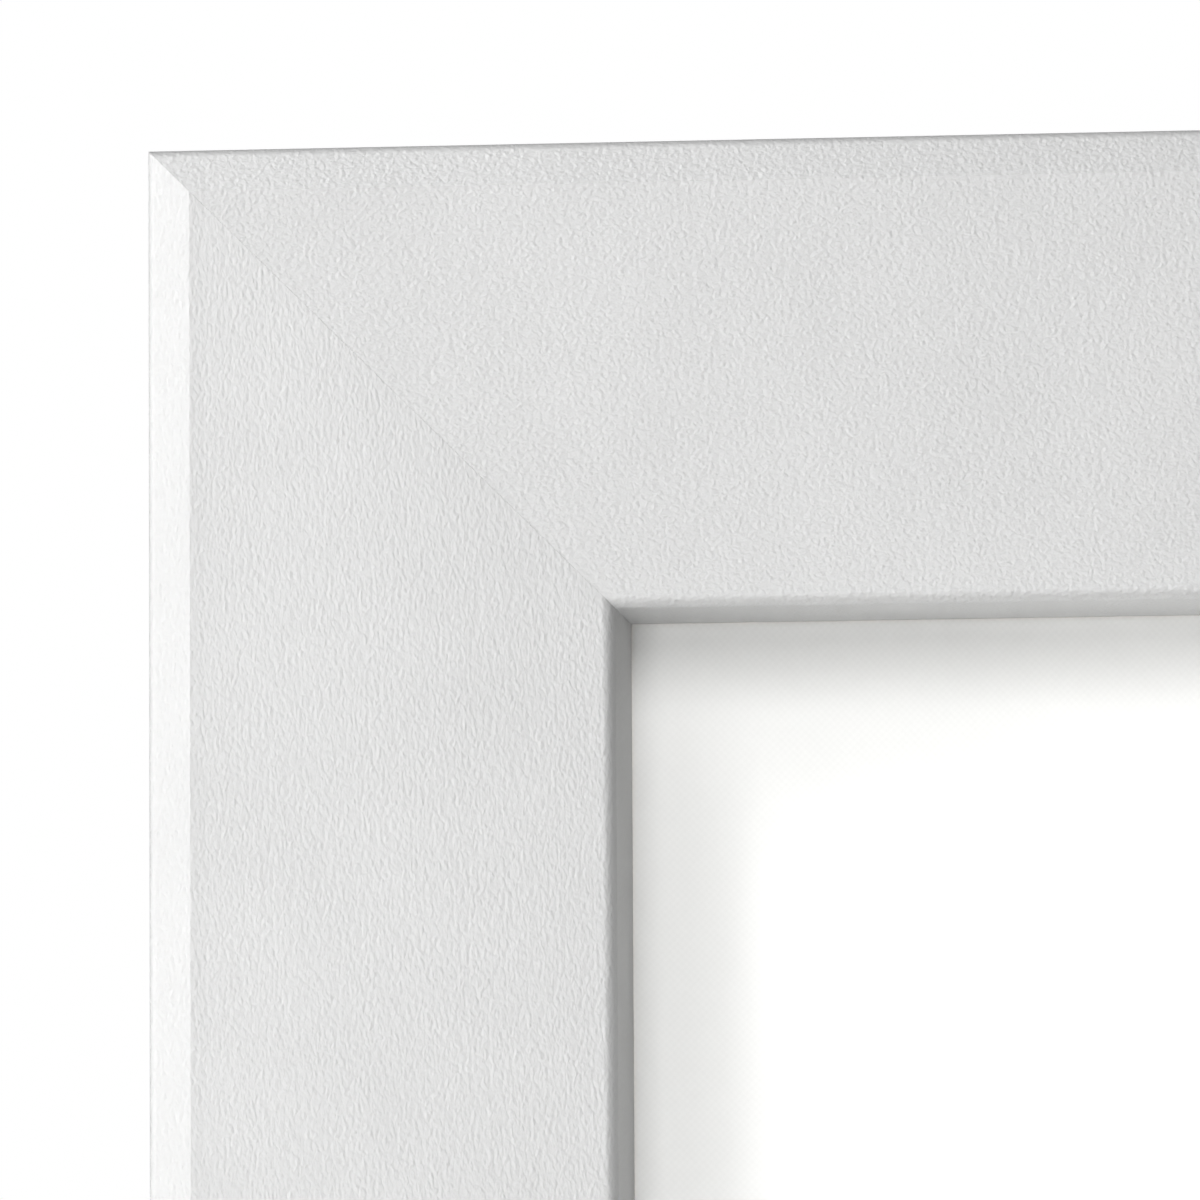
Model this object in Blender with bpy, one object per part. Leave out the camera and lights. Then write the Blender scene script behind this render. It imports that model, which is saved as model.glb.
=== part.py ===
"""A stretched canvas in a wide flat picture frame, hung on a wall. Metres, +Z up, and the picture faces -Y.

The origin is the middle of the frame's outline, on the plane of its back. Each rail and bar is made as
the top one, lying along X, and is turned about Y to its own side.
"""

import math

import bmesh
import bpy

# Driving dimensions: the canvas on its bars
CANVAS_WIDTH = 0.4064
CANVAS_HEIGHT = 0.5080
CANVAS_THICKNESS = 0.0005
CANVAS_RETURN = 0.024
BAR_WIDTH = 0.038
BAR_DEPTH = 0.0175
BAR_BEAD = 0.005
BAR_BEAD_DROP = 0.0015
BAR_SLOPE_DROP = 0.003
TONGUE_THICKNESS = 0.0040
TONGUE_INSET = 0.0048

# The frame's moulding
RAIL_WIDTH = 0.0635
REBATE_WIDTH = 0.0064
LIP_HEIGHT = 0.0225
CANVAS_CLEARANCE = 0.0015
BACK_SETBACK = 0.0012
SIGHT_ROUND = 0.0018
FACE_CROWN = 0.0005
CROWN_STEPS = 6
BEVEL_WIDTH = 0.0064
BEVEL_DROP = 0.0022
EDGE_ROUND = 0.0012

# Corner keys: the wedges that spread the bars
KEY_TIP_DISTANCE = 0.008
KEY_TIP_WIDTH = 0.003
KEY_STICKS_OUT = 0.009
KEY_TAPER = math.tan(math.radians(8))

# V-nails across the mitres
V_NAIL_ARM = 0.0075
V_NAIL_SHEET = 0.0005
V_NAIL_HEIGHT = 0.010
V_NAIL_FROM_OUTSIDE = 0.020

# Staples along the cloth's turned-over edge
STAPLE_WIDTH = 0.0100
STAPLE_WIRE = 0.0005
STAPLE_LEG = 0.006
STAPLE_FROM_EDGE = 0.013
STAPLES_LONG_SIDE = 5
STAPLES_SHORT_SIDE = 4
STAPLE_END_DISTANCE = 0.055

# Screws
SCREW_RADIUS = 0.00125
SCREW_LENGTH = 0.012
SCREW_POINT = 0.0035
SCREW_HEAD_RADIUS = 0.0032
SCREW_HEAD_RIM = 0.0006
SCREW_HEAD_HEIGHT = 0.0018

# Turn buttons
BUTTON_PIVOT_RADIUS = 0.0060
BUTTON_TIP_RADIUS = 0.0042
BUTTON_LENGTH = 0.026
BUTTON_THICKNESS = 0.0016
BUTTON_FROM_REBATE = 0.009
BUTTON_SPREAD = 0.150

# Hangers: a strap with a D-ring
RING_WIRE_RADIUS = 0.0011
RING_WIDTH = 0.0200
RING_DROP = 0.0125
RING_BEND = 0.0025
RING_BOW_DEPTH = 0.0067
BORE_CLEARANCE = 0.0003
STRAP_THICKNESS = 0.0008
STRAP_WIDTH = 0.0110
STRAP_LENGTH = 0.0270
STRAP_WRAP = (-90, 144)
STRAP_SCREW_DISTANCE = 0.0205
HANGER_FROM_TOP = 0.190

# Bumpers on the two lower corners
BUMPER_RADIUS = 0.0050
BUMPER_RIM = 0.0012
BUMPER_HEIGHT = 0.0030
BUMPER_FROM_EDGE = 0.014

# The gap between touching pieces, how far a cutter passes the face that it cuts, and the sides of a round
GAP = 0.0003
HALF_GAP = GAP / 2
MITRE_GAP = HALF_GAP * math.sqrt(2)
OVERRUN = 0.001
ROUND_SIDES = 16

# The frame's outline, worked out from the canvas
REBATE_X = CANVAS_WIDTH / 2 + CANVAS_CLEARANCE
REBATE_Z = CANVAS_HEIGHT / 2 + CANVAS_CLEARANCE
OUTER_X = REBATE_X - REBATE_WIDTH + RAIL_WIDTH
OUTER_Z = REBATE_Z - REBATE_WIDTH + RAIL_WIDTH
BARS_X = CANVAS_WIDTH / 2 - CANVAS_THICKNESS - GAP
BARS_Z = CANVAS_HEIGHT / 2 - CANVAS_THICKNESS - GAP

# Depths, from the back plane at zero forwards
CANVAS_BACK = -BACK_SETBACK
BARS_BACK = CANVAS_BACK - CANVAS_THICKNESS - GAP
BARS_FRONT = BARS_BACK - BAR_DEPTH
CANVAS_FRONT = BARS_FRONT - GAP - CANVAS_THICKNESS
LIP_BACK = CANVAS_FRONT - GAP
FRAME_FRONT = LIP_BACK - LIP_HEIGHT

# The two middle layers of a bar: the flat bars' tongues in the front one, the upright bars' in the back one
LAYER_FRONT = BARS_FRONT + TONGUE_INSET
LAYER_MIDDLE = LAYER_FRONT + TONGUE_THICKNESS
LAYER_BACK = LAYER_MIDDLE + TONGUE_THICKNESS

# The hangers' axis, over the back plane
RING_BORE_RADIUS = RING_WIRE_RADIUS + BORE_CLEARANCE
RING_AXIS = GAP + STRAP_THICKNESS + RING_BORE_RADIUS

# (side, turn about Y from the top side, the axis along it, the axis across it)
SIDES = (
    ("top", 0.0, "x", "z"),
    ("right", math.pi / 2, "z", "x"),
    ("bottom", math.pi, "x", "z"),
    ("left", -math.pi / 2, "z", "x"),
)
OUTER = {"x": OUTER_X, "z": OUTER_Z}
REBATE = {"x": REBATE_X, "z": REBATE_Z}
BARS = {"x": BARS_X, "z": BARS_Z}
CORNERS = (("top_left", -1, 1), ("top_right", 1, 1), ("bottom_left", -1, -1), ("bottom_right", 1, -1))
SQUARE = ((-1, -1), (1, -1), (1, 1), (-1, 1))


def clear_scene():
    for obj in list(bpy.data.objects):
        bpy.data.objects.remove(obj, do_unlink=True)


def finish_of(name, colour, roughness, metallic=0.0):
    material = bpy.data.materials.new(name)
    material.use_nodes = True
    shader = material.node_tree.nodes["Principled BSDF"]
    shader.inputs["Base Color"].default_value = (*colour, 1.0)
    shader.inputs["Roughness"].default_value = roughness
    shader.inputs["Metallic"].default_value = metallic
    return material


def new_object(name, bm, material=None):
    """An object in the scene from a bmesh, with its faces pointing out."""
    bmesh.ops.recalc_face_normals(bm, faces=bm.faces)
    mesh = bpy.data.meshes.new(name)
    bm.to_mesh(mesh)
    bm.free()
    obj = bpy.data.objects.new(name, mesh)
    bpy.context.scene.collection.objects.link(obj)
    if material:
        mesh.materials.append(material)
    return obj


def skin(bm, loops):
    """A closed solid through loops of points: each is joined to the next, and the two ends are capped."""
    rows = [[bm.verts.new(point) for point in loop] for loop in loops]
    for low, high in zip(rows, rows[1:]):
        for i in range(len(low)):
            j = (i + 1) % len(low)
            bm.faces.new((low[i], low[j], high[j], high[i]))
    bm.faces.new(rows[0])
    bm.faces.new(rows[-1])


def solid(name, loops, material=None):
    bm = bmesh.new()
    skin(bm, loops)
    return new_object(name, bm, material)


def prisms(name, outlines, low, high, material=None):
    """Solids with (x, z) outlines, each from depth low to depth high."""
    bm = bmesh.new()
    for outline in outlines:
        skin(bm, [[(x, y, z) for x, z in outline] for y in (low, high)])
    return new_object(name, bm, material)


def turned(name, profile, material=None):
    """A round solid about Y from (radius, depth) points, whose first and last lie on the axis."""
    bm = bmesh.new()
    first, last = (bm.verts.new((0, profile[i][1], 0)) for i in (0, -1))
    angles = [2 * math.pi * i / ROUND_SIDES for i in range(ROUND_SIDES)]
    rings = []
    for radius, y in profile[1:-1]:
        rings.append([bm.verts.new((radius * math.cos(a), y, radius * math.sin(a))) for a in angles])
    for i in range(ROUND_SIDES):
        j = (i + 1) % ROUND_SIDES
        bm.faces.new((first, rings[0][i], rings[0][j]))
        bm.faces.new((last, rings[-1][i], rings[-1][j]))
        for low, high in zip(rings, rings[1:]):
            bm.faces.new((low[i], low[j], high[j], high[i]))
    obj = new_object(name, bm, material)
    obj.data.shade_smooth()
    obj.data.set_sharp_from_angle(angle=math.radians(35))
    return obj


def cut(obj, cutter):
    """Takes the cutter's shape out of the object, and leaves the cutter as a wire guide."""
    cutter.hide_render = True
    cutter.display_type = "WIRE"
    modifier = obj.modifiers.new(cutter.name, "BOOLEAN")
    modifier.operation = "DIFFERENCE"
    modifier.object = cutter


def screw_hole(name, low, high):
    radius = SCREW_RADIUS + GAP
    return turned(name, [(0, low), (radius, low), (radius, high), (0, high)])


def on_side(turn, u, v):
    """(x, z) of the point at u along the top side and v over the middle, once turned to its side."""
    return (u * math.cos(turn) + v * math.sin(turn), v * math.cos(turn) - u * math.sin(turn))


def arc(centre, radius, degrees, steps):
    """Points round a centre, from the first angle to the last."""
    start, end = (math.radians(d) for d in degrees)
    angles = [start + (end - start) * i / steps for i in range(steps + 1)]
    return [(centre[0] + radius * math.cos(a), centre[1] + radius * math.sin(a)) for a in angles]


# The frame


def rail_outline(outer, rebate):
    """(height over the middle, depth) round a rail's section, from the back edge of the rebate."""
    sight = rebate - REBATE_WIDTH
    crease = outer - BEVEL_WIDTH
    face_start = sight + SIGHT_ROUND
    edge_centre = FRAME_FRONT + BEVEL_DROP + EDGE_ROUND
    points = [(rebate, 0), (rebate, LIP_BACK), (sight, LIP_BACK)]
    points += arc((face_start, FRAME_FRONT + SIGHT_ROUND), SIGHT_ROUND, (180, 270), 5)
    for i in range(1, CROWN_STEPS):
        share = i / CROWN_STEPS
        rise = 4 * FACE_CROWN * share * (1 - share)
        points.append((face_start + (crease - face_start) * share, FRAME_FRONT - rise))
    points.append((crease, FRAME_FRONT))
    points += arc((outer - EDGE_ROUND, edge_centre), EDGE_ROUND, (290, 360), 3)
    points.append((outer, 0))
    return points


def v_nail_outline(sx, sz, grow=0.0):
    """An L with its corner on the mitre and an arm in each rail. grow widens it all round, for the pocket."""
    corner_x, corner_z = OUTER_X - V_NAIL_FROM_OUTSIDE, OUTER_Z - V_NAIL_FROM_OUTSIDE
    sheet, arm = V_NAIL_SHEET + grow, V_NAIL_ARM + grow
    steps = ((-grow, -grow), (arm, -grow), (arm, sheet), (sheet, sheet), (sheet, arm), (-grow, arm))
    return [(sx * (corner_x - p), sz * (corner_z - q)) for p, q in steps]


def make_rails(foil):
    rails = {}
    for side, turn, along, across in SIDES:
        outline = rail_outline(OUTER[across], REBATE[across])
        longer = OUTER[along] - OUTER[across] - MITRE_GAP
        ends = [[(end * (v + longer), y, v) for v, y in outline] for end in (-1, 1)]
        rails[side] = solid(f"rail_{side}", ends, foil)
        rails[side].rotation_euler = (0, turn, 0)
    return rails


def make_v_nails(rails, steel):
    for corner, sx, sz in CORNERS:
        top = -GAP
        prisms(f"v_nail_{corner}", [v_nail_outline(sx, sz)], top - V_NAIL_HEIGHT, top, steel)
        outline = v_nail_outline(sx, sz, GAP)
        pocket = prisms(f"cut_v_nail_{corner}", [outline], top - V_NAIL_HEIGHT - GAP, OVERRUN)
        for side in corner.split("_"):
            cut(rails[side], pocket)


# The stretcher


def bar_outline(outer):
    """(height over the middle, depth) round a bar's section: a bead at the outer edge, then a slope."""
    inner = outer - BAR_WIDTH
    slope_start = outer - BAR_BEAD - BAR_BEAD_DROP
    return [
        (outer, BARS_FRONT),
        (outer - BAR_BEAD, BARS_FRONT),
        (slope_start, BARS_FRONT + BAR_BEAD_DROP),
        (inner, BARS_FRONT + BAR_SLOPE_DROP),
        (inner, BARS_BACK),
        (outer, BARS_BACK),
    ]


def in_corner(points, flat, sx, sz):
    """(x, z) from (distance in from the bar's end, distance in from its outer edge) at a stretcher corner."""
    if not flat:
        points = [(q, p) for p, q in points]
    return [(sx * (BARS_X - p), sz * (BARS_Z - q)) for p, q in points]


def key_width(distance):
    """The width of a key's wedge at a distance in from the outer edge of the bar that it points at."""
    return KEY_TIP_WIDTH + (distance - KEY_TIP_DISTANCE) * KEY_TAPER


def shape_bar_end(bar, name, flat, sx, sz):
    """Cuts one end: the mitre before and behind the bar's own tongue, and the slot for its neighbour's."""
    start, beyond = -OVERRUN, BAR_WIDTH + OVERRUN
    mitre = [(start, start), (start + MITRE_GAP, start), (beyond + MITRE_GAP, beyond), (start, beyond)]
    room = BAR_WIDTH + 2 * GAP
    sides = [room + key_width(distance) for distance in (start, beyond)]
    slot = [(start, start), (sides[0], start), (sides[1], beyond), (start, beyond)]
    front, back = (LAYER_FRONT, LAYER_MIDDLE), (LAYER_MIDDLE, LAYER_BACK)
    tongue, gap = (front, back) if flat else (back, front)
    mitre, slot = in_corner(mitre, flat, sx, sz), in_corner(slot, flat, sx, sz)
    cut(bar, prisms(f"cut_{name}_front", [mitre], BARS_FRONT - OVERRUN, tongue[0] + HALF_GAP))
    cut(bar, prisms(f"cut_{name}_back", [mitre], tongue[1] - HALF_GAP, BARS_BACK + OVERRUN))
    cut(bar, prisms(f"cut_{name}_slot", [slot], gap[0] - HALF_GAP, gap[1] + HALF_GAP))


def make_bars(pine):
    bars = {}
    for side, turn, along, across in SIDES:
        ends = [[(end * BARS[along], y, v) for v, y in bar_outline(BARS[across])] for end in (-1, 1)]
        bars[side] = solid(f"stretcher_{side}", ends, pine)
        bars[side].rotation_euler = (0, turn, 0)
    for corner, sx, sz in CORNERS:
        for side in corner.split("_"):
            shape_bar_end(bars[side], f"{side}_at_{corner}", side in ("top", "bottom"), sx, sz)
    return bars


def make_keys(key_wood):
    """A wedge beside the tongue of the flat bar, and one beside the upright bar's, in each corner."""
    side, head = BAR_WIDTH + GAP, BAR_WIDTH + KEY_STICKS_OUT
    outline = [
        (KEY_TIP_DISTANCE, side),
        (head, side),
        (head, side + key_width(head)),
        (KEY_TIP_DISTANCE, side + KEY_TIP_WIDTH),
    ]
    layers = (("flat", LAYER_FRONT, LAYER_MIDDLE), ("upright", LAYER_MIDDLE, LAYER_BACK))
    for corner, sx, sz in CORNERS:
        for kind, low, high in layers:
            place = in_corner(outline, kind == "flat", sx, sz)
            prisms(f"key_{corner}_{kind}", [place], low + HALF_GAP, high - HALF_GAP, key_wood)


# The cloth and its staples


def make_canvas(cloth):
    """One sheet: the picture's face, its four sides and the strip turned over onto the backs of the bars."""
    steps = (
        (0, CANVAS_FRONT),
        (0, CANVAS_BACK),
        (CANVAS_RETURN, CANVAS_BACK),
        (CANVAS_RETURN, CANVAS_BACK - CANVAS_THICKNESS),
        (CANVAS_THICKNESS, CANVAS_BACK - CANVAS_THICKNESS),
        (CANVAS_THICKNESS, CANVAS_FRONT + CANVAS_THICKNESS),
    )
    half_x, half_z = CANVAS_WIDTH / 2, CANVAS_HEIGHT / 2
    loops = [[(a * (half_x - inset), y, b * (half_z - inset)) for a, b in SQUARE] for inset, y in steps]
    return solid("canvas", loops, cloth)


def make_staples(bars, canvas, steel):
    """Flat crowns over the turned-over cloth, with two legs through it into the bar."""
    half, wire = STAPLE_WIDTH / 2, STAPLE_WIRE
    top = CANVAS_BACK + GAP + wire
    tip = BARS_BACK - STAPLE_LEG
    arch = (
        (-half, top),
        (half, top),
        (half, tip),
        (half - wire, tip),
        (half - wire, top - wire),
        (wire - half, top - wire),
        (wire - half, tip),
        (-half, tip),
    )
    hole = wire / 2 + GAP
    for side, turn, along, across in SIDES:
        count = STAPLES_SHORT_SIDE if along == "x" else STAPLES_LONG_SIDE
        reach, v = BARS[along] - STAPLE_END_DISTANCE, BARS[across] - STAPLE_FROM_EDGE
        holes = []
        for i in range(count):
            u = -reach + 2 * reach * i / (count - 1)
            loops = []
            for dv in (-wire / 2, wire / 2):
                places = [(*on_side(turn, u + du, v + dv), y) for du, y in arch]
                loops.append([(x, y, z) for x, z, y in places])
            solid(f"staple_{side}_{i + 1}", loops, steel)
            for leg in (u - half + wire / 2, u + half - wire / 2):
                holes.append([on_side(turn, leg + a * hole, v + b * hole) for a, b in SQUARE])
        cutter = prisms(f"cut_staples_{side}", holes, tip - GAP, OVERRUN)
        cut(bars[side], cutter)
        cut(canvas, cutter)


# Turn buttons, hangers and bumpers on the frame's back


def make_screw(name, x, z, seat, steel):
    """A dome-headed screw with its head over depth seat and its point in the rail."""
    rise = SCREW_HEAD_HEIGHT - SCREW_HEAD_RIM
    rim = seat + SCREW_HEAD_RIM
    dome = [(SCREW_HEAD_RADIUS * math.cos(a), rim + rise * math.sin(a)) for a in (1.3, 0.85, 0.4, 0)]
    profile = [(0, seat + SCREW_HEAD_HEIGHT), *dome, (SCREW_HEAD_RADIUS, seat), (SCREW_RADIUS, seat)]
    profile += [(SCREW_RADIUS, SCREW_POINT - SCREW_LENGTH), (0, GAP - SCREW_LENGTH)]
    screw = turned(name, profile, steel)
    screw.location = (x, 0, z)


def button_outline():
    """A round pivot end at the origin and a smaller round tip below it, joined by their tangents."""
    lean = math.degrees(math.asin((BUTTON_PIVOT_RADIUS - BUTTON_TIP_RADIUS) / BUTTON_LENGTH))
    steps = ROUND_SIDES // 2
    pivot_end = arc((0, 0), BUTTON_PIVOT_RADIUS, (-lean, 180 + lean), steps)
    return pivot_end + arc((0, -BUTTON_LENGTH), BUTTON_TIP_RADIUS, (180 + lean, 360 - lean), steps)


def make_turn_buttons(rails, zinc, steel):
    """Two on each long side and one on each short side, each about the screw that holds it."""
    half = BUTTON_SPREAD / 2
    for side, turn, along, across in SIDES:
        upper = half if side == "left" else -half
        places = (("", 0.0),) if along == "x" else (("_upper", upper), ("_lower", -upper))
        for level, u in places:
            name = f"{side}{level}"
            x, z = on_side(turn, u, REBATE[across] + BUTTON_FROM_REBATE)
            pivot = bpy.data.objects.new(f"pivot_{name}", None)
            bpy.context.scene.collection.objects.link(pivot)
            pivot.location = (x, 0, z)
            pivot.rotation_euler = (0, turn, 0)
            button = prisms(f"turn_button_{name}", [button_outline()], GAP, GAP + BUTTON_THICKNESS, zinc)
            bore = screw_hole(f"cut_turn_button_{name}", -OVERRUN, BUTTON_THICKNESS + OVERRUN)
            button.parent = pivot
            bore.parent = pivot
            cut(button, bore)
            rail_hole = screw_hole(f"cut_turn_screw_{name}", -SCREW_LENGTH, OVERRUN)
            rail_hole.location = (x, 0, z)
            cut(rails[side], rail_hole)
            make_screw(f"turn_screw_{name}", x, z, 2 * GAP + BUTTON_THICKNESS, steel)


def strap_outline():
    """(depth, height over the ring's axis) of the strap, folded round the ring's straight side."""
    centre = (0, RING_AXIS)
    outside = arc(centre, RING_BORE_RADIUS + STRAP_THICKNESS, STRAP_WRAP, 14)
    inside = arc(centre, RING_BORE_RADIUS, STRAP_WRAP, 14)
    tail = [(-STRAP_LENGTH, GAP + STRAP_THICKNESS), (-STRAP_LENGTH, GAP)]
    return [(y, z) for z, y in outside + inside[::-1] + tail]


def ring_path():
    """(x, z) round a D: two bends at the ends of the straight side on the axis, and the bow below."""
    half = RING_WIDTH / 2 - RING_WIRE_RADIUS
    bend = arc((half - RING_BEND, -RING_BEND), RING_BEND, (90, 0), 3)
    bow_centre = RING_WIRE_RADIUS - RING_DROP + RING_BOW_DEPTH
    bow = [(half * x, bow_centre + RING_BOW_DEPTH * z) for x, z in arc((0, 0), 1, (0, -180), 10)]
    return bend + bow + [(-x, z) for x, z in reversed(bend)]


def make_hangers(rails, zinc, steel):
    for side, sx in (("left", -1), ("right", 1)):
        x, z = sx * (OUTER_X + REBATE_X) / 2, OUTER_Z - HANGER_FROM_TOP
        screw_z = z - STRAP_SCREW_DISTANCE
        faces = [[(edge, *point) for point in strap_outline()] for edge in (-STRAP_WIDTH / 2, STRAP_WIDTH / 2)]
        strap = solid(f"hanger_strap_{side}", faces, zinc)
        strap.location = (x, 0, z)
        hole = screw_hole(f"cut_hanger_screw_{side}", -SCREW_LENGTH, STRAP_THICKNESS + OVERRUN)
        hole.location = (x, 0, screw_z)
        cut(strap, hole)
        cut(rails[side], hole)
        make_screw(f"hanger_screw_{side}", x, screw_z, 2 * GAP + STRAP_THICKNESS, steel)
        wire = bpy.data.curves.new(f"hanger_ring_{side}", "CURVE")
        wire.dimensions = "3D"
        wire.bevel_depth = RING_WIRE_RADIUS
        wire.bevel_resolution = 2
        path = ring_path()
        spline = wire.splines.new("POLY")
        spline.points.add(len(path) - 1)
        for point, (px, pz) in zip(spline.points, path):
            point.co = (px, 0, pz, 1)
        spline.use_cyclic_u = True
        wire.materials.append(zinc)
        ring = bpy.data.objects.new(f"hanger_ring_{side}", wire)
        bpy.context.scene.collection.objects.link(ring)
        ring.location = (x, RING_AXIS, z)


def make_bumpers(rubber):
    rise = BUMPER_HEIGHT - BUMPER_RIM
    rim = GAP + BUMPER_RIM
    dome = [(BUMPER_RADIUS * math.cos(a), rim + rise * math.sin(a)) for a in (0, 0.4, 0.8, 1.2)]
    profile = [(0, GAP), (BUMPER_RADIUS, GAP), *dome, (0, GAP + BUMPER_HEIGHT)]
    for side, sx in (("left", -1), ("right", 1)):
        bumper = turned(f"bumper_{side}", profile, rubber)
        bumper.location = (sx * (OUTER_X - BUMPER_FROM_EDGE), 0, BUMPER_FROM_EDGE - OUTER_Z)


clear_scene()
white_foil = finish_of("embossed_white_foil", (0.72, 0.72, 0.72), 0.5)
planed_pine = finish_of("planed_pine", (0.69, 0.52, 0.33), 0.6)
sawn_beech = finish_of("sawn_beech", (0.62, 0.44, 0.27), 0.6)
primed_cloth = finish_of("primed_canvas", (0.86, 0.86, 0.85), 0.9)
bright_steel = finish_of("plated_steel", (0.62, 0.62, 0.60), 0.35, 1.0)
zinc_steel = finish_of("zinc_steel", (0.55, 0.56, 0.57), 0.4, 1.0)
grey_rubber = finish_of("clear_grey_rubber", (0.45, 0.45, 0.44), 0.6)

frame_rails = make_rails(white_foil)
make_v_nails(frame_rails, bright_steel)
stretcher_bars = make_bars(planed_pine)
make_keys(sawn_beech)
picture_cloth = make_canvas(primed_cloth)
make_staples(stretcher_bars, picture_cloth, bright_steel)
make_turn_buttons(frame_rails, zinc_steel, bright_steel)
make_hangers(frame_rails, zinc_steel, bright_steel)
make_bumpers(grey_rubber)
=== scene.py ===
"""A stretched canvas in a wide white picture frame, in the order it is made: moulding, bars, cloth, fixings."""

import math

import bmesh
import bpy
from mathutils import Matrix, Vector


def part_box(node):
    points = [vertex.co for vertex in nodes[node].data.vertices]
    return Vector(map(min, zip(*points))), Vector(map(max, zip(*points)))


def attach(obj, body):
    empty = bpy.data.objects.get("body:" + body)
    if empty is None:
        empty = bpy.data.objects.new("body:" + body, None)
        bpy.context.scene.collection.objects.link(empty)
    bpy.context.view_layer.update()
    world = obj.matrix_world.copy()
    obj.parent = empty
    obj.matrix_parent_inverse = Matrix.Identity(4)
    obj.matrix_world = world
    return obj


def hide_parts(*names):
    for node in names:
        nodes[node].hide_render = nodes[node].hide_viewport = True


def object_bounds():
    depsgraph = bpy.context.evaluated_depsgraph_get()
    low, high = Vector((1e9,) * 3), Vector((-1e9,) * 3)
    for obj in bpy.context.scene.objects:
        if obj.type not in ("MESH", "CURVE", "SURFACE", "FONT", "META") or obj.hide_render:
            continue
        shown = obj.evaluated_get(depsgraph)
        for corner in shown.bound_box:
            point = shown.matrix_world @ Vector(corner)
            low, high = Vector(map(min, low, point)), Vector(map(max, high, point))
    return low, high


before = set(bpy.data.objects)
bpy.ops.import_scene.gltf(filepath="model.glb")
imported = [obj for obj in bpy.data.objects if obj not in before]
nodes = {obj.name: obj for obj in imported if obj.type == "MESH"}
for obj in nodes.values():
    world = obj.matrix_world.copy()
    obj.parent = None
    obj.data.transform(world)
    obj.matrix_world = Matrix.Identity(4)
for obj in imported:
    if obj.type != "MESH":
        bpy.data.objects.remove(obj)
cad_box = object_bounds()


# The view: a long lens on the top left corner of the picture, a little right of the corner and below it.

FACE_CROWN = 0.0005

front_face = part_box("rail_left")[0].y + FACE_CROWN
sight_corner = Vector((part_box("rail_left")[1].x, front_face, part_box("rail_top")[0].z))
aim = sight_corner + Vector((-0.00195, 0, 0.00102))
camera_data = bpy.data.cameras.new("camera")
camera_data.sensor_width = 36
camera_data.lens = 340
camera_data.clip_start = 0.05
camera_data.clip_end = 100
camera = bpy.data.objects.new("camera", camera_data)
bpy.context.scene.collection.objects.link(camera)
camera.location = sight_corner + Vector((0.1521, -1.505, -0.1568))
lean = math.radians(-0.324)
look = (aim - camera.location).to_track_quat("-Z", "Y").to_matrix()
camera.rotation_euler = (look @ Matrix.Rotation(lean, 3, "Z")).to_euler()
bpy.context.scene.camera = camera


# The studio: a pale painted floor under the frame, soft boxes low and high in front and on the left, one that
# reaches only the canvas, one behind for the back, and dim light all round.

FLOOR_SIZE = 40
FLOOR_DROP = 0.0005


def deselect():
    bpy.ops.object.select_all(action="DESELECT")


def pick_out(obj):
    """Selects this object alone and makes it the active one."""
    deselect()
    obj.select_set(True)
    bpy.context.view_layer.objects.active = obj


def linear(hex_colour):
    """An sRGB hex colour such as "f2efe8" as linear RGBA."""
    parts = [int(hex_colour[i : i + 2], 16) / 255 for i in (0, 2, 4)]
    return (*[p / 12.92 if p <= 0.04045 else ((p + 0.055) / 1.055) ** 2.4 for p in parts], 1.0)


def add(tree, kind, inputs=None, **settings):
    """Adds a node. inputs gives each input a value or the socket that feeds it, and settings its properties."""
    made = tree.nodes.new(kind)
    for name, value in settings.items():
        setattr(made, name, value)
    for key, value in (inputs or {}).items():
        if isinstance(value, bpy.types.NodeSocket):
            tree.links.new(value, made.inputs[key])
        else:
            made.inputs[key].default_value = value
    return made


def new_material(name):
    """(material, its node tree, its shader, object coordinates in metres)"""
    material = bpy.data.materials.new(name)
    material.use_nodes = True
    tree = material.node_tree
    place = add(tree, "ShaderNodeTexCoord").outputs["Object"]
    return material, tree, tree.nodes["Principled BSDF"], place


def matt_floor_paint():
    """Matt emulsion, rolled: nearly flat white with a faint unevenness."""
    material, tree, shader, place = new_material("matt_floor_paint")
    cloud = add(tree, "ShaderNodeTexNoise", {"Vector": place, "Scale": 3, "Detail": 2})
    tone = add(tree, "ShaderNodeValToRGB", {"Fac": cloud.outputs["Fac"]})
    tone.color_ramp.elements[0].color = linear("e9e9e8")
    tone.color_ramp.elements[1].color = linear("eeeeed")
    tree.links.new(tone.outputs["Color"], shader.inputs["Base Color"])
    shader.inputs["Roughness"].default_value = 0.9
    return material


deselect()
bpy.ops.mesh.primitive_plane_add(size=FLOOR_SIZE, location=(0, 0, cad_box[0].z - FLOOR_DROP))
floor = bpy.context.object
floor.name = "floor"
bpy.ops.object.transform_apply(location=True)
floor.data.materials.append(matt_floor_paint())


def soft_light(name, azimuth, elevation, distance, size, power):
    """A square soft box that shines on the top left corner of the picture. Azimuth 0 is straight in front of
    it, and a negative one is to its left."""
    light = bpy.data.lights.new(name, "AREA")
    light.size = size
    light.energy = power
    holder = bpy.data.objects.new(name, light)
    bpy.context.scene.collection.objects.link(holder)
    across, up = math.radians(azimuth), math.radians(elevation)
    direction = Vector((math.sin(across) * math.cos(up), -math.cos(across) * math.cos(up), math.sin(up)))
    holder.location = sight_corner + direction * distance
    holder.rotation_euler = (-direction).to_track_quat("-Z", "Y").to_euler()
    return holder


soft_light("low_front", 0, -16, 1.2, 0.45, 6.2)
soft_light("low_left", -75, -9, 2.2, 0.8, 18.0)
soft_light("side_left", -60, 25, 2.4, 0.9, 10.9)
soft_light("high_left", -45, 45, 2.4, 0.9, 42.0)
soft_light("high_front", -30, 25, 2.4, 0.9, 10.5)
picture_light = soft_light("on_the_canvas", 25, 17, 2.4, 0.9, 28.0)
soft_light("behind", 150, 30, 3.0, 1.5, 40.0)

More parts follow.
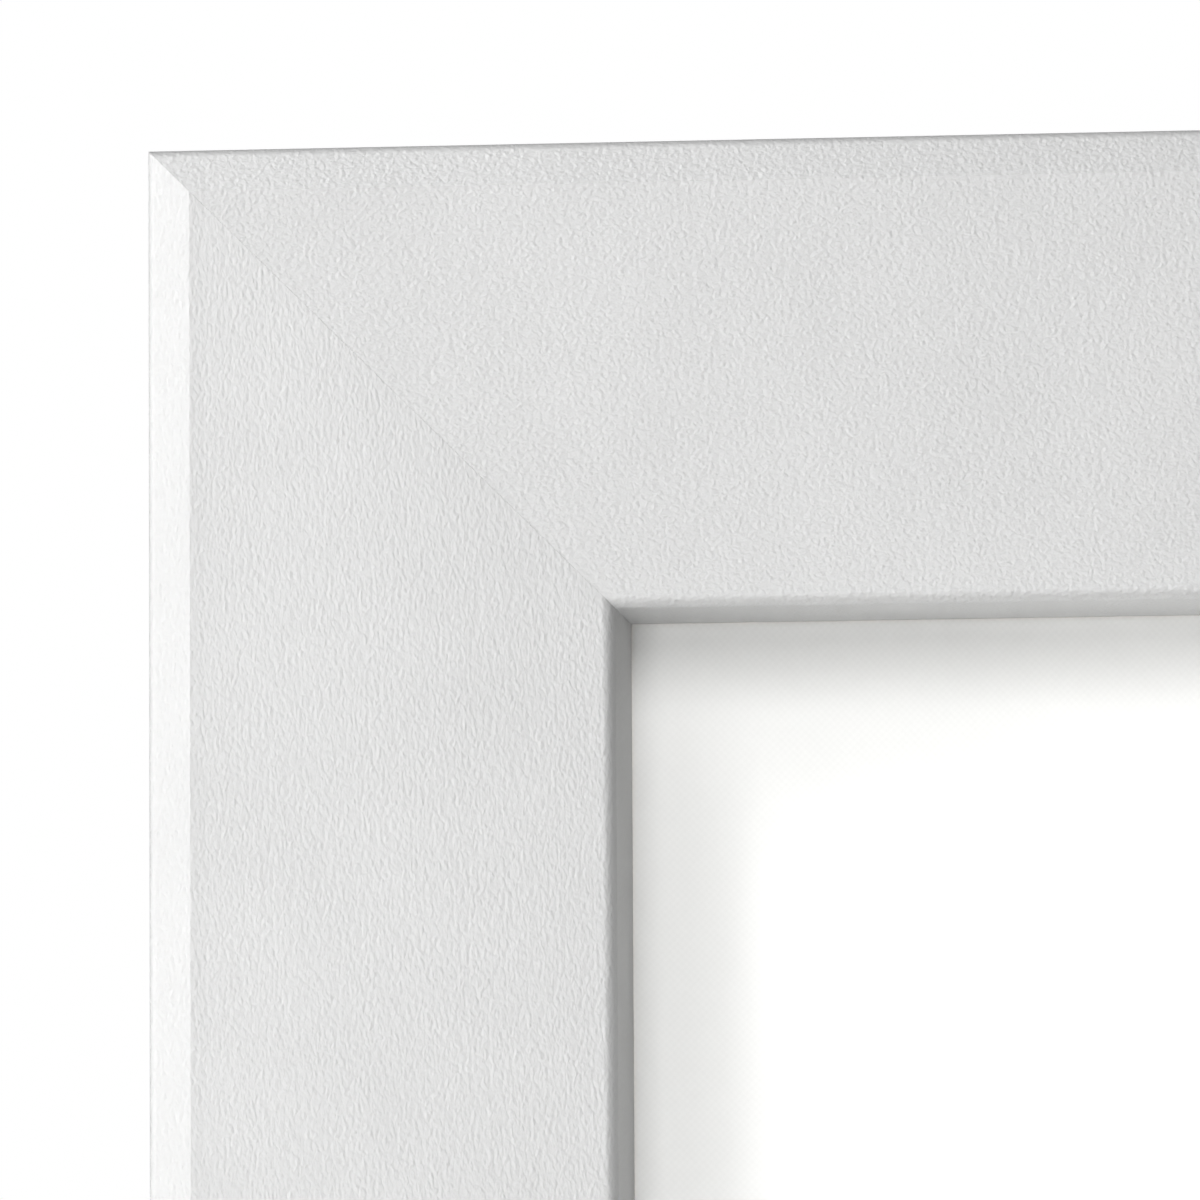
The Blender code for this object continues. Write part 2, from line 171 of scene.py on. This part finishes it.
world = bpy.data.worlds.new("studio")
bpy.context.scene.world = world
world.use_nodes = True
sky = world.node_tree
sky.nodes.clear()
seen = add(sky, "ShaderNodeBackground", {"Color": (1, 1, 1, 1), "Strength": 1.0})
dim = add(sky, "ShaderNodeBackground", {"Color": (1, 1, 1, 1), "Strength": 0.02})
ray = add(sky, "ShaderNodeLightPath")
choice = {0: ray.outputs["Is Camera Ray"], 1: dim.outputs[0], 2: seen.outputs[0]}
add(sky, "ShaderNodeOutputWorld", {"Surface": add(sky, "ShaderNodeMixShader", choice).outputs[0]})
bpy.context.scene.view_settings.view_transform = "Standard"
bpy.context.scene.view_settings.gamma = 0.75


# The moulding: four rails of MDF, 63.5 mm wide, wrapped in white embossed foil. The foil is rolled on along
# the rail, round the outer side and 6 mm over the back. The ends are sawn at 45 degrees and butt together.

RAIL_SIDES = (
    ("top", 0.0, "x", "z"),
    ("right", math.pi / 2, "z", "x"),
    ("bottom", math.pi, "x", "z"),
    ("left", -math.pi / 2, "z", "x"),
)
outer = {"x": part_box("rail_right")[1].x, "z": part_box("rail_top")[1].z}
sight = {"x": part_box("rail_right")[0].x, "z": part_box("rail_top")[0].z}
REBATE_WIDTH = 0.0064
LIP_HEIGHT = 0.0225
SIGHT_ROUND = 0.0018
BEVEL_WIDTH = 0.0064
BEVEL_DROP = 0.0022
EDGE_ROUND = 0.0012
CREASE_ROUND = 0.0016
CROWN_STEPS = 12
FOIL_OVER_BACK = 0.006
MITRE_GAP = 0.000004
MITRE_ROUND = 0.00002
NEAR = 1e-5
SHARP_ANGLE = 30
SOFT_ANGLE = 40


def choose(obj, kind, test):
    """In edit mode, selects the verts, edges or faces (kind) that pass the test, and nothing else."""
    bpy.ops.mesh.select_mode(type={"verts": "VERT", "edges": "EDGE", "faces": "FACE"}[kind])
    bpy.ops.mesh.select_all(action="DESELECT")
    bm = bmesh.from_edit_mesh(obj.data)
    for part in getattr(bm, kind):
        if test(part):
            part.select_set(True)
    bm.select_flush_mode()
    bmesh.update_edit_mesh(obj.data)


def middle(part):
    return sum((v.co for v in part.verts), Vector()) / len(part.verts)


def bisect_all(plane_at, plane_facing, **options):
    bpy.ops.mesh.select_all(action="SELECT")
    bpy.ops.mesh.bisect(plane_co=plane_at, plane_no=plane_facing, **options)


def smooth_faces(obj, angle):
    """Smooth shading up to an angle, where the wide faces keep their own direction and only the narrow ones
    between them turn."""
    pick_out(obj)
    bpy.ops.object.shade_smooth_by_angle(angle=math.radians(angle))
    weighted = obj.modifiers.new("weighted", "WEIGHTED_NORMAL")
    weighted.weight = 100
    weighted.keep_sharp = True
    bpy.ops.object.modifier_apply(modifier=weighted.name)


def embossed_foil(name, stretch):
    """White PVC foil with a pressed hide grain: pebbles under a millimetre wide, drawn out along the rail, and
    finer wrinkles between them. It looks satin, and light from one side picks out each wrinkle."""
    material, tree, shader, place = new_material(name)
    grain = add(tree, "ShaderNodeMapping", {"Vector": place, "Scale": stretch})
    wander = add(tree, "ShaderNodeTexNoise", {"Vector": grain.outputs[0], "Scale": 1000, "Detail": 1})
    bent = add(
        tree,
        "ShaderNodeVectorMath",
        {0: wander.outputs["Color"], 1: (0.0004, 0.0004, 0.0004), 2: grain.outputs[0]},
        operation="MULTIPLY_ADD",
    )
    pebbles = add(
        tree,
        "ShaderNodeTexVoronoi",
        {"Vector": bent.outputs[0], "Scale": 1850, "Smoothness": 0.6},
        feature="SMOOTH_F1",
    )
    wrinkles = add(tree, "ShaderNodeTexNoise", {"Vector": bent.outputs[0], "Scale": 2000, "Detail": 1})
    height = add(
        tree,
        "ShaderNodeMath",
        {0: pebbles.outputs["Distance"], 1: -0.8, 2: wrinkles.outputs["Fac"]},
        operation="MULTIPLY_ADD",
    )
    bump = add(tree, "ShaderNodeBump", {"Height": height.outputs[0], "Strength": 1.0, "Distance": 0.00008})
    blotch = add(tree, "ShaderNodeTexNoise", {"Vector": place, "Scale": 60, "Detail": 2})
    tone = add(tree, "ShaderNodeValToRGB", {"Fac": blotch.outputs["Fac"]})
    tone.color_ramp.elements[0].position = 0.3
    tone.color_ramp.elements[0].color = linear("c4c4c4")
    tone.color_ramp.elements[1].position = 0.7
    tone.color_ramp.elements[1].color = linear("c6c6c6")
    tree.links.new(tone.outputs["Color"], shader.inputs["Base Color"])
    tree.links.new(bump.outputs[0], shader.inputs["Normal"])
    shader.inputs["Roughness"].default_value = 0.5
    shader.inputs["IOR"].default_value = 1.45
    return material


def raw_board():
    """MDF as sawn: pale brown pressed fibre, with fine dark and light specks under half a millimetre."""
    material, tree, shader, place = new_material("mdf_board")
    fibres = add(tree, "ShaderNodeTexNoise", {"Vector": place, "Scale": 2200, "Detail": 4, "Roughness": 0.7})
    clouds = add(tree, "ShaderNodeTexNoise", {"Vector": place, "Scale": 70, "Detail": 3})
    mixed = add(
        tree,
        "ShaderNodeMath",
        {0: fibres.outputs["Fac"], 1: 1.3, 2: clouds.outputs["Fac"]},
        operation="MULTIPLY_ADD",
    )
    tone = add(tree, "ShaderNodeValToRGB", {"Fac": mixed.outputs[0]})
    tone.color_ramp.elements[0].position = 0.6
    tone.color_ramp.elements[0].color = linear("a58660")
    tone.color_ramp.elements[1].position = 1.7
    tone.color_ramp.elements[1].color = linear("cfb48c")
    bump = add(tree, "ShaderNodeBump", {"Height": fibres.outputs["Fac"], "Strength": 0.5, "Distance": 0.00005})
    tree.links.new(tone.outputs["Color"], shader.inputs["Base Color"])
    tree.links.new(bump.outputs[0], shader.inputs["Normal"])
    shader.inputs["Roughness"].default_value = 0.85
    return material


foil = {
    "x": embossed_foil("embossed_foil_flat", (0.8, 1, 0.85)),
    "z": embossed_foil("embossed_foil_upright", (1, 1, 0.55)),
}
board = raw_board()


def moulding_rail(side, turn, along, across):
    """One rail, made as the top one and turned to its side."""
    inner, edge, half = sight[across], outer[across], outer[along]
    lip_back = front_face + LIP_HEIGHT
    rebate = inner + REBATE_WIDTH
    crease = edge - BEVEL_WIDTH
    deselect()
    bpy.ops.mesh.primitive_cube_add(
        size=1,
        location=(0, (front_face + lip_back) / 2, (inner + edge) / 2),
        scale=(2 * half, LIP_HEIGHT, edge - inner),
    )
    rail = bpy.context.object
    rail.name = f"moulding_{side}"
    bpy.ops.object.transform_apply(location=True, rotation=True, scale=True)
    bpy.ops.object.mode_set(mode="EDIT")
    # the body behind the lip
    bisect_all((0, 0, rebate), (0, 0, 1))
    choose(rail, "faces", lambda f: f.normal.y > 0.9 and middle(f).z > rebate)
    bpy.ops.mesh.extrude_region_move(TRANSFORM_OT_translate={"value": (0, -lip_back, 0)})
    bisect_all((0, 0, edge - FOIL_OVER_BACK), (0, 0, 1))
    # the bevel down to the outer side, and the crease where it meets the face
    bisect_all((0, 0, crease), (0, 0, 1))
    choose(rail, "verts", lambda v: abs(v.co.y - front_face) < NEAR and abs(v.co.z - edge) < NEAR)
    bpy.ops.transform.translate(value=(0, BEVEL_DROP, 0))
    rounds = (
        (inner, front_face, SIGHT_ROUND, 14),
        (crease, front_face, CREASE_ROUND, 6),
        (edge, front_face + BEVEL_DROP, EDGE_ROUND, 6),
    )
    for z, y, size, segments in rounds:
        choose(rail, "edges", lambda e: all((v.co.yz - Vector((y, z))).length < NEAR for v in e.verts))
        bpy.ops.mesh.bevel(offset=size, segments=segments, affect="EDGES", clamp_overlap=False)
    # the crown of the face
    low, high = inner + SIGHT_ROUND, crease - CREASE_ROUND
    for i in range(1, CROWN_STEPS):
        bisect_all((0, 0, low + (high - low) * i / CROWN_STEPS), (0, 0, 1))
    bm = bmesh.from_edit_mesh(rail.data)
    for vert in bm.verts:
        share = (vert.co.z - low) / (high - low)
        if abs(vert.co.y - front_face) < NEAR and 0 < share < 1:
            vert.co.y -= 4 * FACE_CROWN * share * (1 - share)
    bmesh.update_edit_mesh(rail.data)
    # the mitres, with a hairline between the two rails and their sharp edges taken off
    for end in (-1, 1):
        facing = Vector((end, 0, -1)).normalized()
        at = Vector((end * half, 0, edge)) - facing * MITRE_GAP
        bisect_all(at, facing, use_fill=True, clear_outer=True)
        choose(rail, "edges", lambda e: all(abs((v.co - at).dot(facing)) < NEAR for v in e.verts))
        bpy.ops.mesh.bevel(offset=MITRE_ROUND, segments=2, affect="EDGES")
    bpy.ops.mesh.select_all(action="SELECT")
    bpy.ops.mesh.normals_make_consistent(inside=False)
    bpy.ops.object.mode_set(mode="OBJECT")
    rail.data.materials.append(foil["x" if along == "x" else "z"])
    rail.data.materials.append(board)
    for face in rail.data.polygons:
        behind = face.normal.y > 0.9 and face.center.z < edge - FOIL_OVER_BACK
        in_rebate = face.normal.z < -0.9 and face.center.y > lip_back
        face.material_index = 1 if behind or in_rebate else 0
    rail.rotation_euler = (0, turn, 0)
    bpy.ops.object.transform_apply(location=True, rotation=True, scale=True)
    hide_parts(f"rail_{side}")
    return rail


rails = {side: moulding_rail(side, turn, along, across) for side, turn, along, across in RAIL_SIDES}


# The V-nails: bent sheet steel, one in each corner, pressed in across the mitre from the back and left just
# under the surface, in a pocket that they cut for themselves.

CORNERS = ("top_left", "top_right", "bottom_left", "bottom_right")
POCKET_LOOSE = 0.0001
POCKET_OPEN = 0.002


def plated_steel(name, colour, roughness):
    """Bright zinc on steel wire and sheet, drawn or stamped: grey metal with a soft uneven shine."""
    material, tree, shader, place = new_material(name)
    patches = add(tree, "ShaderNodeTexNoise", {"Vector": place, "Scale": 500, "Detail": 3})
    shine = add(
        tree,
        "ShaderNodeMapRange",
        {"Value": patches.outputs["Fac"], "To Min": roughness - 0.08, "To Max": roughness + 0.12},
    )
    scuffs = add(tree, "ShaderNodeTexNoise", {"Vector": place, "Scale": 2500, "Detail": 2})
    bump = add(tree, "ShaderNodeBump", {"Height": scuffs.outputs["Fac"], "Strength": 0.25, "Distance": 0.00003})
    tree.links.new(shine.outputs[0], shader.inputs["Roughness"])
    tree.links.new(bump.outputs[0], shader.inputs["Normal"])
    shader.inputs["Base Color"].default_value = linear(colour)
    shader.inputs["Metallic"].default_value = 1.0
    return material


bright_steel = plated_steel("bright_zinc_steel", "c9c9c4", 0.3)
dull_steel = plated_steel("dull_zinc_steel", "b9bcbe", 0.42)


def bench_copy(node, name):
    """A copy of a CAD node as one clean mesh, left as the active object."""
    copy = bpy.data.objects.new(name, nodes[node].data.copy())
    bpy.context.scene.collection.objects.link(copy)
    pick_out(copy)
    copy.data.materials.clear()
    bpy.ops.mesh.customdata_custom_splitnormals_clear()
    bpy.ops.object.mode_set(mode="EDIT")
    bpy.ops.mesh.select_all(action="SELECT")
    bpy.ops.mesh.remove_doubles(threshold=0.000005)
    bpy.ops.mesh.dissolve_limited(angle_limit=math.radians(1))
    bpy.ops.mesh.normals_make_consistent(inside=False)
    bpy.ops.object.mode_set(mode="OBJECT")
    return copy


def soften(obj, width, segments, angle=SHARP_ANGLE):
    """Takes the sharp edges off, as tumbling or sanding does."""
    pick_out(obj)
    bevel = obj.modifiers.new("soft_edges", "BEVEL")
    bevel.width = width
    bevel.segments = segments
    bevel.limit_method = "ANGLE"
    bevel.angle_limit = math.radians(angle)
    bpy.ops.object.modifier_apply(modifier=bevel.name)
    smooth_faces(obj, SOFT_ANGLE)


def cut_away(obj, cutter):
    pick_out(obj)
    cut = obj.modifiers.new("cut", "BOOLEAN")
    cut.object = cutter
    bpy.ops.object.modifier_apply(modifier=cut.name)


for corner in CORNERS:
    nodes[f"v_nail_{corner}"].data.materials.clear()
    nodes[f"v_nail_{corner}"].data.materials.append(bright_steel)
    pocket = bench_copy(f"v_nail_{corner}", "pocket")
    bpy.ops.object.mode_set(mode="EDIT")
    bpy.ops.mesh.select_all(action="SELECT")
    bpy.ops.transform.shrink_fatten(value=POCKET_LOOSE, use_even_offset=True)
    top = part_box(f"v_nail_{corner}")[1].y
    choose(pocket, "verts", lambda v: v.co.y > top - 0.001)
    bpy.ops.transform.translate(value=(0, POCKET_OPEN, 0))
    bpy.ops.object.mode_set(mode="OBJECT")
    for side in corner.split("_"):
        cut_away(rails[side], pocket)
    bpy.data.objects.remove(pocket, do_unlink=True)

for rail in rails.values():
    smooth_faces(rail, SHARP_ANGLE)
    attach(rail, "frame")


# The stretcher: four pine bars, planed on four sides, with the front sloped back from the cloth and a rounded
# bead at its outer edge. The corners are mitred over a tongue and a slot, dry, so that the keys can spread
# them.

BAR_EDGE = 0.0006


def planed_pine(name, grain_along, pale, dark):
    """Softwood, flat sawn and planed: yellow-white early wood with darker late lines about 3 mm apart, drawn
    out along the bar, and fine pores."""
    material, tree, shader, place = new_material(name)
    squeeze = {"x": (0.06, 1, 1), "z": (1, 1, 0.06)}[grain_along]
    grain = add(tree, "ShaderNodeMapping", {"Vector": place, "Scale": squeeze})
    drift = add(tree, "ShaderNodeTexNoise", {"Vector": grain.outputs[0], "Scale": 55, "Detail": 3})
    rings = add(tree, "ShaderNodeMath", {0: drift.outputs["Fac"], 1: 42.0}, operation="MULTIPLY")
    wave = add(tree, "ShaderNodeMath", {0: rings.outputs[0]}, operation="SINE")
    fibres = add(tree, "ShaderNodeTexNoise", {"Vector": grain.outputs[0], "Scale": 1500, "Detail": 3})
    mixed = add(
        tree,
        "ShaderNodeMath",
        {0: wave.outputs[0], 1: 0.28, 2: fibres.outputs["Fac"]},
        operation="MULTIPLY_ADD",
    )
    tone = add(tree, "ShaderNodeValToRGB", {"Fac": mixed.outputs[0]})
    tone.color_ramp.elements[0].position = 0.25
    tone.color_ramp.elements[0].color = linear(pale)
    tone.color_ramp.elements[1].position = 0.85
    tone.color_ramp.elements[1].color = linear(dark)
    bump = add(tree, "ShaderNodeBump", {"Height": fibres.outputs["Fac"], "Strength": 0.35, "Distance": 0.00006})
    tree.links.new(tone.outputs["Color"], shader.inputs["Base Color"])
    tree.links.new(bump.outputs[0], shader.inputs["Normal"])
    shader.inputs["Roughness"].default_value = 0.62
    return material


pine = {axis: planed_pine(f"planed_pine_{axis}", axis, "e9cf9f", "c39a63") for axis in ("x", "z")}
for side, _, along, _ in RAIL_SIDES:
    bar = bench_copy(f"stretcher_{side}", f"bar_{side}")
    soften(bar, BAR_EDGE, 2)
    bar.data.materials.append(pine[along])
    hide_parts(f"stretcher_{side}")
    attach(bar, "frame")


# The corner keys: eight beech wedges, sawn, tapped into the slots beside the tongues to draw the cloth tight.

KEY_EDGE = 0.0004

beech = {axis: planed_pine(f"sawn_beech_{axis}", axis, "dcb98c", "b98d5e") for axis in ("x", "z")}
for corner in CORNERS:
    for kind, axis in (("flat", "x"), ("upright", "z")):
        node = f"key_{corner}_{kind}"
        key = bench_copy(node, f"wedge_{corner}_{kind}")
        soften(key, KEY_EDGE, 2)
        key.data.materials.append(beech[axis])
        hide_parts(node)
        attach(key, node)


# The canvas: one sheet of cotton duck, primed white on its face, pulled over the bars' beads, down their
# sides and 24 mm onto their backs, where it lies flat.

CLOTH = 0.0005
CLOTH_RETURN = 0.024
CLOTH_ROUND = 0.0012
THREAD = 0.00055


def primed_duck(name, pale, dark, depth):
    """Plain-woven cotton, about 18 threads to the centimetre. Priming fills the weave, so that only a faint
    even texture is left; the raw side shows each thread. The colour is darker where the weave is lower: painted
    shade in the dips between the threads, with a real uneven thread tone from the slubs."""
    material, tree, shader, place = new_material(name)
    parts = add(tree, "ShaderNodeSeparateXYZ", {"Vector": place})
    waves = []
    for axis in ("X", "Z"):
        steps = {0: parts.outputs[axis], 1: math.pi / THREAD}
        turns = add(tree, "ShaderNodeMath", steps, operation="MULTIPLY")
        waves.append(add(tree, "ShaderNodeMath", {0: turns.outputs[0]}, operation="SINE").outputs[0])
    weave = add(tree, "ShaderNodeMath", {0: waves[0], 1: waves[1]}, operation="MULTIPLY")
    slubs = add(tree, "ShaderNodeTexNoise", {"Vector": place, "Scale": 900, "Detail": 2})
    height = add(
        tree,
        "ShaderNodeMath",
        {0: weave.outputs[0], 1: 0.5, 2: slubs.outputs["Fac"]},
        operation="MULTIPLY_ADD",
    )
    bump = add(tree, "ShaderNodeBump", {"Height": height.outputs[0], "Strength": 1.0, "Distance": depth})
    # the colour follows the height: painted shade, darker in the dips of the weave, plus real thread tone from
    # the slubs
    tone = add(tree, "ShaderNodeValToRGB", {"Fac": height.outputs[0]})
    tone.color_ramp.elements[0].position = 0.0
    tone.color_ramp.elements[0].color = linear(dark)
    tone.color_ramp.elements[1].position = 1.0
    tone.color_ramp.elements[1].color = linear(pale)
    tree.links.new(tone.outputs["Color"], shader.inputs["Base Color"])
    tree.links.new(bump.outputs[0], shader.inputs["Normal"])
    shader.inputs["Roughness"].default_value = 0.8
    return material


cloth_low, cloth_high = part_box("canvas")
deselect()
bpy.ops.mesh.primitive_cube_add(size=1, location=(cloth_low + cloth_high) / 2, scale=cloth_high - cloth_low)
cloth = bpy.context.object
cloth.name = "primed_cloth"
bpy.ops.object.transform_apply(location=True, rotation=True, scale=True)
bpy.ops.object.mode_set(mode="EDIT")
choose(cloth, "edges", lambda e: middle(e).y < cloth_high.y - 0.001)
bpy.ops.mesh.bevel(offset=CLOTH_ROUND, segments=4, affect="EDGES")
turned_in = Vector((CLOTH_RETURN, 0, CLOTH_RETURN))
open_low, open_high = cloth_low + turned_in, cloth_high - turned_in
for edge_at in (open_low, open_high):
    bisect_all(edge_at, (1, 0, 0))
    bisect_all(edge_at, (0, 0, 1))
choose(
    cloth,
    "faces",
    lambda f: f.normal.y > 0.9 and all(open_low[i] < middle(f)[i] < open_high[i] for i in (0, 2)),
)
bpy.ops.mesh.delete(type="FACE")
bpy.ops.object.mode_set(mode="OBJECT")
# the darker of each pair of colours is painted shade in the dips of the weave, strong on the raw side
cloth.data.materials.append(primed_duck("primed_duck", "dededd", "dcdcdb", 0.000002))
cloth.data.materials.append(primed_duck("raw_duck", "e6dcc6", "c9bb9d", 0.00012))
wall = cloth.modifiers.new("thickness", "SOLIDIFY")
wall.thickness = CLOTH
wall.offset = -1
wall.material_offset = 1
bpy.ops.object.modifier_apply(modifier=wall.name)
smooth_faces(cloth, SHARP_ANGLE)
reach = bpy.data.collections.new("canvas_only")
reach.objects.link(cloth)
picture_light.light_linking.receiver_collection = reach
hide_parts("canvas")
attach(cloth, "frame")


# The staples: flat steel wire, 10 mm wide, shot through the turned-over cloth into the bars.

for name, node in nodes.items():
    if name.startswith("staple_"):
        node.data.materials.clear()
        node.data.materials.append(bright_steel)


# The turn buttons: stamped zinc-plated steel plates that swivel on a screw and hold the bars in the rebate.

PLATE_EDGE = 0.0003

for name in list(nodes):
    if name.startswith("turn_button_"):
        button = bench_copy(name, name.replace("turn_button", "button"))
        soften(button, PLATE_EDGE, 3)
        button.data.materials.append(dull_steel)
        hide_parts(name)
        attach(button, name)


# The screws: dome-headed, zinc plated, with a cross recess, through the turn buttons and the hangers' straps.

RECESS_WIDTH = 0.0009
RECESS_LENGTH = 0.0034
RECESS_DEPTH = 0.0011
HEAD_EDGE = 0.00012

for name in list(nodes):
    if name.startswith(("turn_screw_", "hanger_screw_")):
        screw = bench_copy(name, name.replace("screw", "fixing"))
        low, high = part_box(name)
        centre = (low + high) / 2
        for angle in (45, 135):
            deselect()
            bpy.ops.mesh.primitive_cube_add(
                size=1,
                location=(centre.x, high.y, centre.z),
                rotation=(0, math.radians(angle), 0),
                scale=(RECESS_LENGTH, 2 * RECESS_DEPTH, RECESS_WIDTH),
            )
            blade = bpy.context.object
            cut_away(screw, blade)
            bpy.data.objects.remove(blade, do_unlink=True)
        soften(screw, HEAD_EDGE, 2)
        screw.data.materials.append(bright_steel)
        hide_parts(name)
        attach(screw, "frame")


# The hangers: a strap of plated steel folded round the straight side of a D-ring of 2.2 mm wire.

STRAP_EDGE = 0.00018

for side in ("left", "right"):
    strap = bench_copy(f"hanger_strap_{side}", f"strap_{side}")
    soften(strap, STRAP_EDGE, 2, angle=50)
    strap.data.materials.append(dull_steel)
    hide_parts(f"hanger_strap_{side}")
    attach(strap, "frame")
    node = f"hanger_ring_{side}"
    ring = bench_copy(node, f"ring_{side}")
    rounder = ring.modifiers.new("rounder", "SUBSURF")
    rounder.levels = 2
    rounder.render_levels = 2
    bpy.ops.object.modifier_apply(modifier=rounder.name)
    bpy.ops.object.shade_smooth()
    ring.data.materials.append(dull_steel)
    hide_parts(node)
    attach(ring, node)


# The bumpers: soft clear-grey polyurethane domes with sticky backs, on the two lower corners.


def clear_rubber():
    """Cast polyurethane: smooth, faintly milky, with a soft shine."""
    material, tree, shader, place = new_material("cast_polyurethane")
    haze = add(tree, "ShaderNodeTexNoise", {"Vector": place, "Scale": 300, "Detail": 2})
    tone = add(tree, "ShaderNodeValToRGB", {"Fac": haze.outputs["Fac"]})
    tone.color_ramp.elements[0].color = linear("b4b4b0")
    tone.color_ramp.elements[1].color = linear("c2c2be")
    tree.links.new(tone.outputs["Color"], shader.inputs["Base Color"])
    shader.inputs["Roughness"].default_value = 0.3
    shader.inputs["Subsurface Weight"].default_value = 0.4
    shader.inputs["Subsurface Radius"].default_value = (0.002, 0.002, 0.002)
    return material


BUMPER_EDGE = 0.0004

rubber = clear_rubber()
for side in ("left", "right"):
    dome = bench_copy(f"bumper_{side}", f"dome_{side}")
    rounder = dome.modifiers.new("rounder", "SUBSURF")
    rounder.levels = 2
    rounder.render_levels = 2
    edge = dome.modifiers.new("edge", "BEVEL")
    bpy.ops.object.modifier_move_to_index(modifier="edge", index=0)
    edge.width = BUMPER_EDGE
    edge.segments = 2
    edge.limit_method = "ANGLE"
    bpy.ops.object.modifier_apply(modifier="edge")
    bpy.ops.object.modifier_apply(modifier="rounder")
    bpy.ops.object.shade_smooth()
    dome.data.materials.append(rubber)
    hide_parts(f"bumper_{side}")
    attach(dome, "frame")
